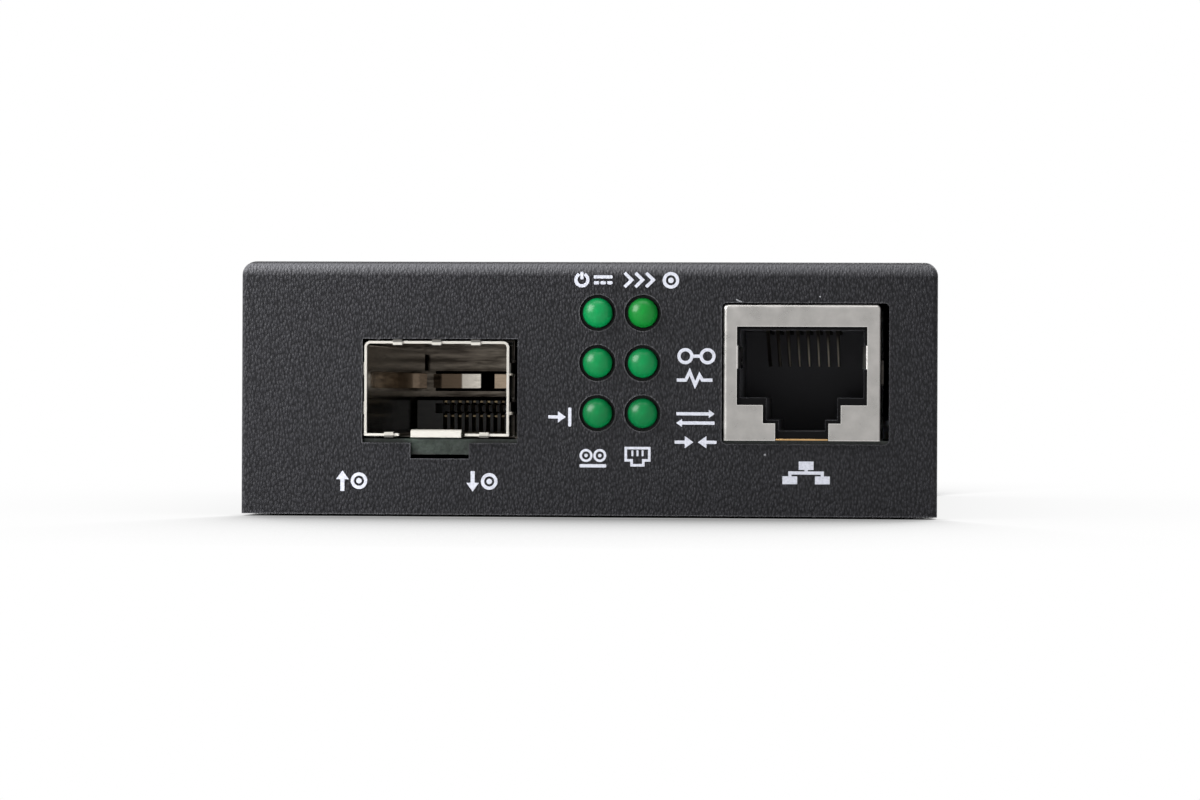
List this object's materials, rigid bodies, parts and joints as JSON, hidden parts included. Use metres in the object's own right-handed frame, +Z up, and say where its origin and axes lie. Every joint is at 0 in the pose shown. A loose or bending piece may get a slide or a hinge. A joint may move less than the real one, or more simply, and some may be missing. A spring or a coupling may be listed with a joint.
{
  "type": "fibre media converter",
  "caption": "Black steel box that joins a plug-in optical transceiver to a copper network cable, with cage, network jack, status lamps and rear power inlet.",
  "frame": {"origin": "middle of the underside, on the surface that the case rests on", "axes": "+X to the right as one faces the ports, +Y from the front panel to the rear panel, +Z up"},
  "size_m": [0.071, 0.0952, 0.026],
  "materials": {
    "black_powder_coat": "fine-textured satin black powder coat on steel",
    "nickel_plate": "satin nickel plate",
    "zinc_plate": "bright zinc plate",
    "black_oxide": "black oxide on steel",
    "tinned_steel": "bright tin over thin sheet",
    "tin_plate": "matt tin plate",
    "gold_plate": "thin bright gold plate",
    "green_laminate": "dark green solder mask on glass laminate",
    "black_moulding": "matt black nylon moulding",
    "epoxy_package": "matt epoxy package",
    "green_lens": "diffused green lens",
    "capacitor_sleeve": "shrink sleeve",
    "ferrite": "dull ferrite",
    "brown_ceramic": "fired ceramic"
  },
  "bodies": {
    "root": {"cover_shell": "black_powder_coat", "base_tray": "black_powder_coat", "board_standoffs": "nickel_plate", "board_screws": "zinc_plate", "cover_screws": "black_oxide", "circuit_board": "green_laminate", "cage_body": "tinned_steel", "cage_floor": "tinned_steel", "cage_spring_fingers": "tinned_steel", "host_connector_housing": "black_moulding", "host_connector_contacts": "gold_plate", "jack_shield": "nickel_plate", "jack_insert": "black_moulding", "jack_contact_wires": "gold_plate", "lamp_leads": "tin_plate", "lamp_holder": "black_moulding", "power_inlet_body": "black_moulding", "power_inlet_pin": "nickel_plate", "power_inlet_contacts": "tin_plate", "converter_chip": "epoxy_package", "converter_chip_leads": "tin_plate", "line_transformer": "epoxy_package", "line_transformer_leads": "tin_plate", "memory_chip": "epoxy_package", "memory_chip_leads": "tin_plate", "voltage_regulator": "epoxy_package", "voltage_regulator_leads": "tin_plate", "crystal_can": "nickel_plate", "capacitor_large": "capacitor_sleeve", "capacitor_small": "capacitor_sleeve", "power_inductor": "ferrite", "chip_resistors": "epoxy_package", "chip_capacitors": "brown_ceramic", "lamp_power": "green_lens", "lamp_speed": "green_lens", "lamp_fibre_link": "green_lens", "lamp_copper_link": "green_lens", "lamp_fibre_signal": "green_lens", "lamp_copper_duplex": "green_lens"}
  },
  "joints": []
}
